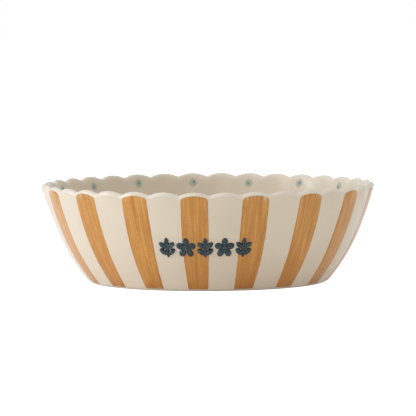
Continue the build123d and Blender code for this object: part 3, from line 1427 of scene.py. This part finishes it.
@dataclass
class RimSpots:
    """The grey-teal spots inside the rim, one behind each stripe."""

    stripes: SlipStripes
    radius: float = 4.6 * MM
    drop: float = 7.5 * MM
    thickness: float = 0.12 * MM
    tuck: float = 0.03 * MM  # how deep the pad's edge lies in the clay
    underside: float = 0.2 * MM  # how deep its underside lies
    stray_step: float = 4.1  # radians from the phase of one spot's error to the next one's
    stray_up: float = 0.35 * MM
    stray_round: float = 0.12  # degrees
    first_seed: float = 0.4
    seed_step: float = 0.6180
    segments: int = 40
    rings: int = 8

    def flat(self, name: str, level: float) -> bpy.types.Object:
        """Draws one spot flat, as a low round pad.

        Args:
            name: the spot's name.
            level: its middle's height.

        Returns:
            The spot.
        """
        points, faces = [(0.0, level, self.thickness), (0.0, level, -self.underside)], []
        rows = []
        for side, reach in ((1, self.rings), (-1, self.rings - 1)):
            for k in range(1, reach + 1):
                share = k / self.rings
                top = self.thickness * (1 - share**2) - self.tuck
                row = []
                for n in range(self.segments):
                    turn = 2 * math.pi * n / self.segments
                    x, y = share * self.radius * math.cos(turn), share * self.radius * math.sin(turn)
                    row.append(len(points))
                    points.append((x, level + y, top if side > 0 else -self.underside))
                rows.append((side, row))
        top_rows = [row for side, row in rows if side > 0]
        under_rows = [row for side, row in rows if side < 0] + [top_rows[-1]]
        for pole, stack, flip in ((0, top_rows, False), (1, under_rows, True)):
            for n in range(self.segments):
                after = (n + 1) % self.segments
                face = [pole, stack[0][n], stack[0][after]]
                faces.append(face[::-1] if flip else face)
                for inner, outer in zip(stack, stack[1:]):
                    face = [inner[n], outer[n], outer[after], inner[after]]
                    faces.append(face[::-1] if flip else face)
        piece = new_piece(name, points, [], faces)
        note(piece, "stroke", [(p[0] / MM, (p[1] - level) / MM, 0.0) for p in points])
        return piece

    def build(self, wall: Wall, finish: bpy.types.Material) -> None:
        """Dabs every spot on the inside of the wall, each a little off its place.

        Args:
            wall: the finished wall.
            finish: the stain.
        """
        for i in range(self.stripes.count):
            off = math.sin(self.stray_step * (i + 1))
            level = wall.section.height - self.drop + self.stray_up * off
            piece = self.flat(f"dabbed_spot_{i + 1:02d}", level)
            seed = (self.first_seed + self.seed_step * i) % 1.0
            wall.lay(piece, Face.INSIDE, self.stripes.turn(i) + self.stray_round * off, seed, finish)
            piece.data.flip_normals()  # the inside of the wall is a mirror image
            stand_for(piece, "teal_spot", f"rim_spot_{i + 1:02d}")


class Motif(Enum):
    """The two shapes of sprig."""

    LEAF = "leaf"
    BLOSSOM = "blossom"


@dataclass
class Sprigs:
    """A row of moulded leaves and blossoms pressed on to the front."""

    count: int = 5
    level: float = 33.8 * MM
    pitch: float = 14.1 * MM
    turn: float = -1.7
    depth: float = 1.8 * MM
    grain: float = 0.2 * MM  # size of the mesh's smallest faces

    stem_width: float = 2.8 * MM
    stem_low: float = -7.5 * MM
    stem_high: float = 2.0 * MM
    leaf_length: float = 6.8 * MM
    leaf_width: float = 3.7 * MM
    leaf_spread: float = 50.0
    leaf_reach: float = 3.1 * MM
    leaf_rows: tuple[float, float] = (-2.9 * MM, 1.8 * MM)
    top_leaf: float = 4.2 * MM

    petals: int = 5
    petal_length: float = 5.8 * MM
    petal_width: float = 4.9 * MM
    petal_reach: float = 4.6 * MM
    eye: float = 4.6 * MM

    petal_rise: float = 0.85  # how high each dome stands, as a share of the depth
    leaf_rise: float = 0.95
    stem_rise: float = 0.7
    petal_vein: float = 0.3  # how deep each groove is, as a share of the dome's rise
    leaf_vein: float = 0.35
    vein_width: float = 0.16  # as a share of half the dome's width
    crown: float = 2.4  # how full a dome is: 2 is an ellipse, and more is flatter on top
    sunk: float = 0.5 * MM  # how deep a dome's underside lies in the clay
    rings: int = 9
    segments: int = 32
    soften: float = 0.6  # how far each smoothing goes
    soften_times: int = 3
    seed_step: float = 0.13

    def dome(
        self,
        centre: tuple[float, float],
        size: tuple[float, float],
        lean: float,
        rise: float,
        vein: float = 0.0,
    ) -> Dome:
        """Makes a domed oval with a groove down its middle.

        Args:
            centre: its middle.
            size: its length along its own axis and its width.
            lean: degrees that its axis leans from upright, clockwise.
            rise: its height at the middle.
            vein: depth of the groove, as a share of the rise.

        Returns:
            Its points and faces, closed underneath.
        """
        rings, segments = self.rings, self.segments
        length, width = size
        points, faces = [], []
        tilt = math.radians(lean)
        for side in (1, -1):
            for k in range(rings + 1):
                share = k / rings
                for n in range(segments):
                    turn = 2 * math.pi * n / segments
                    u, v = share * math.cos(turn), share * math.sin(turn)
                    x, y = u * width / 2, v * length / 2
                    top = rise * math.sqrt(max(1 - share**self.crown, 0.0))
                    top *= 1 - vein * math.exp(-((u / self.vein_width) ** 2)) * (1 - share**4)
                    height = top if side > 0 else -self.sunk
                    east = centre[0] + x * math.cos(tilt) + y * math.sin(tilt)
                    north = centre[1] - x * math.sin(tilt) + y * math.cos(tilt)
                    points.append((east, north, height))
        per_side = (rings + 1) * segments
        for side in (0, 1):
            for k in range(rings):
                for n in range(segments):
                    after = (n + 1) % segments
                    a = side * per_side + k * segments
                    face = [a + n, a + segments + n, a + segments + after, a + after]
                    faces.append(face[::-1] if side else face)
        rim, under = rings * segments, per_side + rings * segments
        for n in range(segments):
            after = (n + 1) % segments
            faces.append([rim + n, under + n, under + after, rim + after])
        return points, faces

    def blossom(self) -> list[Dome]:
        """Places petals round an eye, about the blossom's own middle.

        Returns:
            The petals and the eye.
        """
        petal, high = (self.petal_length, self.petal_width), self.petal_rise * self.depth
        domes = []
        for i in range(self.petals):
            lean = i * 360 / self.petals
            tilt = math.radians(lean)
            centre = (self.petal_reach * math.sin(tilt), self.petal_reach * math.cos(tilt))
            domes.append(self.dome(centre, petal, lean, high, self.petal_vein))
        return [*domes, self.dome((0.0, 0.0), (self.eye, self.eye), 0.0, self.depth)]

    def leaves(self) -> list[Dome]:
        """Places a leaf at a stem's tip and two pairs beside it, about the sprig's own middle.

        Returns:
            The stem and its leaves.
        """
        leaf, high = (self.leaf_length, self.leaf_width), self.leaf_rise * self.depth
        stem = (self.stem_high - self.stem_low, self.stem_width)
        middle = (self.stem_low + self.stem_high) / 2
        domes = [self.dome((0.0, middle), stem, 0.0, self.stem_rise * self.depth)]
        domes.append(self.dome((0.0, self.top_leaf), leaf, 0.0, high, self.leaf_vein))
        for level in self.leaf_rows:
            for side in (-1, 1):
                centre = (side * self.leaf_reach, level)
                domes.append(self.dome(centre, leaf, side * self.leaf_spread, high, self.leaf_vein))
        return domes

    def flat(self, name: str, motif: Motif) -> bpy.types.Object:
        """Draws one sprig flat, with its domes run together as pressed clay.

        Args:
            name: the sprig's name.
            motif: its shape.

        Returns:
            The sprig.
        """
        points, faces = [], []
        domes = self.blossom() if motif is Motif.BLOSSOM else self.leaves()
        for dome_points, dome_faces in domes:
            start = len(points)
            points += [(x, y + self.level, z) for x, y, z in dome_points]
            faces += [[start + corner for corner in face] for face in dome_faces]
        piece = new_piece(name, points, [], faces)
        melt = piece.modifiers.new("melt", "REMESH")
        melt.mode = "VOXEL"
        melt.voxel_size = self.grain
        soften = piece.modifiers.new("soften", "SMOOTH")
        soften.factor = self.soften
        soften.iterations = self.soften_times
        bake(piece)
        note(piece, "rise", [vertex.co.z / self.depth for vertex in piece.data.vertices])
        return piece

    def build(self, wall: Wall, finish: bpy.types.Material) -> None:
        """Presses the row on to the front.

        Args:
            wall: the finished wall.
            finish: the sprigs' glaze.
        """
        lean = math.radians(wall.section.lean_at(self.level))
        centre, radius = wall.section.arcs()[0]
        reach = centre.x + radius * math.cos(lean)
        step = math.degrees(self.pitch / reach)
        for i in range(self.count):
            motif = (Motif.LEAF, Motif.BLOSSOM)[i % 2]
            piece = self.flat(f"moulded_{motif.value}_{i + 1}", motif)
            turn = self.turn + (i - (self.count - 1) / 2) * step
            wall.lay(piece, Face.OUTSIDE, turn, self.seed_step * i, finish)
            stand_for(piece, "teal_sprig", f"sprig_{i + 1}_{motif.value}")


# ---------------------------------------------------------------------------------------------
# The studio
# ---------------------------------------------------------------------------------------------


@dataclass
class Studio:
    """A white sweep, soft light from the left and the camera."""

    distance: float = 3.45
    eye_height: float = 0.287
    azimuth: float = -0.5
    aim_height: float = 0.0556
    aim_right: float = -0.0002
    roll: float = -0.3
    lens: float = 397.2
    sensor: float = 36.0
    farthest: float = 20.0  # as far as the camera sees
    white: float = 1.0
    surround: float = 0.635  # level with the bowl
    overhead: float = 0.94  # the same, from above
    floor_glow: float = 1.0  # as the camera sees it
    floor_bounce: float = 0.12  # the same, as light on the bowl
    key_side: float = -77.0  # degrees round from the camera, to its left
    key_elevation: float = 12.0
    key_distance: float = 2.5
    key_width: float = 1.6
    key_height: float = 0.9
    key_power: float = 29.6
    key_colour: Colour = (0.925, 0.985, 1.11)
    key_aim: float = 0.04  # height that the key points at
    room_colour: Colour = (1.0, 0.99, 0.96)
    room_turn: tuple[float, float] = (0.3, 0.9)  # how far up a way points as side light becomes top light
    floor_paint: float = 0.9
    floor_half: float = 6.0
    floor_drop: float = 0.05 * MM  # keeps it clear of the foot ring

    def camera(self) -> None:
        """Makes the scene's camera."""
        data = bpy.data.cameras.new("camera")
        data.lens = self.lens
        data.sensor_width = self.sensor
        data.clip_end = self.farthest
        camera = bpy.data.objects.new("camera", data)
        bpy.context.scene.collection.objects.link(camera)
        turn = math.radians(self.azimuth)
        right = Vector((math.cos(turn), math.sin(turn), 0.0))
        camera.location = Vector((math.sin(turn), -math.cos(turn), 0.0)) * self.distance
        camera.location.z = self.eye_height
        aim = right * self.aim_right + Vector((0.0, 0.0, self.aim_height))
        look = (aim - camera.location).to_track_quat("-Z", "Y")
        camera.rotation_euler = look.to_euler()
        camera.rotation_euler.rotate_axis("Z", math.radians(self.roll))
        bpy.context.scene.camera = camera

    def key(self) -> None:
        """Hangs the one soft box, which faces the bowl."""
        side, rise = math.radians(self.key_side), math.radians(self.key_elevation)
        level = math.cos(rise)
        towards = Vector((math.sin(side) * level, -math.cos(side) * level, math.sin(rise)))
        data = bpy.data.lights.new("key", "AREA")
        data.shape = "RECTANGLE"
        data.size, data.size_y = self.key_width, self.key_height
        data.energy = self.key_power
        data.color = self.key_colour
        lamp = bpy.data.objects.new("key", data)
        lamp.location = towards * self.key_distance
        aim = Vector((0, 0, self.key_aim)) - lamp.location
        lamp.rotation_euler = aim.to_track_quat("-Z", "Y").to_euler()
        bpy.context.scene.collection.objects.link(lamp)

    def sweep(self) -> None:
        """Lays the pale floor, which can be seen through from below."""
        half, level = self.floor_half, -self.floor_drop
        corners = [(-half, -half, level), (half, -half, level), (half, half, level), (-half, half, level)]
        floor = new_piece("floor", corners, [], [(0, 1, 2, 3)])
        graph = new_material("white_sweep")
        paint = graph.node("ShaderNodeBsdfDiffuse", {"Color": opaque((self.floor_paint,) * 3)})
        seen = graph.node("ShaderNodeLightPath").outputs["Is Camera Ray"]
        strength = graph.ease(seen, 0.0, 1.0, self.floor_bounce, self.floor_glow)
        glow = graph.node("ShaderNodeEmission", {"Color": (1, 1, 1, 1), "Strength": strength})
        both = graph.node("ShaderNodeAddShader", {0: paint.outputs[0], 1: glow.outputs[0]})
        below = graph.node("ShaderNodeNewGeometry").outputs["Backfacing"]
        clear = graph.node("ShaderNodeBsdfTransparent")
        sided = graph.node("ShaderNodeMixShader", {0: below, 1: both.outputs[0], 2: clear.outputs[0]})
        floor.data.materials.append(graph.surface(sided))

    def surroundings(self) -> None:
        """Sets the white room: bright to look at, softer as light."""
        world = bpy.data.worlds.new("room")
        world.use_nodes = True
        graph = Graph(world.node_tree)
        graph.tree.nodes.clear()
        seen = graph.node("ShaderNodeLightPath").outputs["Is Camera Ray"]
        bright = graph.node("ShaderNodeBackground", {"Color": (1, 1, 1, 1), "Strength": self.white})
        upward = graph.split(graph.node("ShaderNodeTexCoord").outputs["Generated"])[2]
        strength = graph.ease(upward, *self.room_turn, self.surround, self.overhead)
        soft = graph.node("ShaderNodeBackground", {"Color": opaque(self.room_colour), "Strength": strength})
        either = graph.node("ShaderNodeMixShader", {0: seen, 1: soft.outputs[0], 2: bright.outputs[0]})
        end = graph.node("ShaderNodeOutputWorld")
        graph.tree.links.new(either.outputs[0], end.inputs["Surface"])
        bpy.context.scene.world = world

    def build(self) -> None:
        """Sets up camera, light and floor."""
        self.camera()
        self.surroundings()
        self.sweep()
        self.key()
        bpy.context.scene.view_settings.view_transform = "Standard"
        bpy.context.scene.view_settings.look = "None"


def main() -> None:
    """Builds the bowl, piece by piece, and the studio round it."""
    logging.basicConfig(level=logging.INFO, format="%(name)s %(message)s")
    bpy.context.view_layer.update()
    low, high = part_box("bowl_body")
    Studio().build()

    lip_shortfall = 0.66 * MM  # the rounded lip's widest point inside the wall's own line
    section = Section(height=high[2] - low[2], mouth_radius=(high[0] - low[0]) / 2 + lip_shortfall)
    skin, bristles = GlazeSkin().group(), Bristles().group()
    cream = CreamGlaze()
    body = BowlBody(section)
    bowl = body.build(cream.material(skin))
    wall = Wall(bowl, section)
    stripes = SlipStripes(body)
    stripes.build(wall, BrushedSlip().material(skin, bristles, cream))
    RimSpots(stripes).build(wall, SpotStain().material(skin, cream))
    Sprigs().build(wall, TealGlaze().material(skin))


if __name__ == "__main__":
    main()
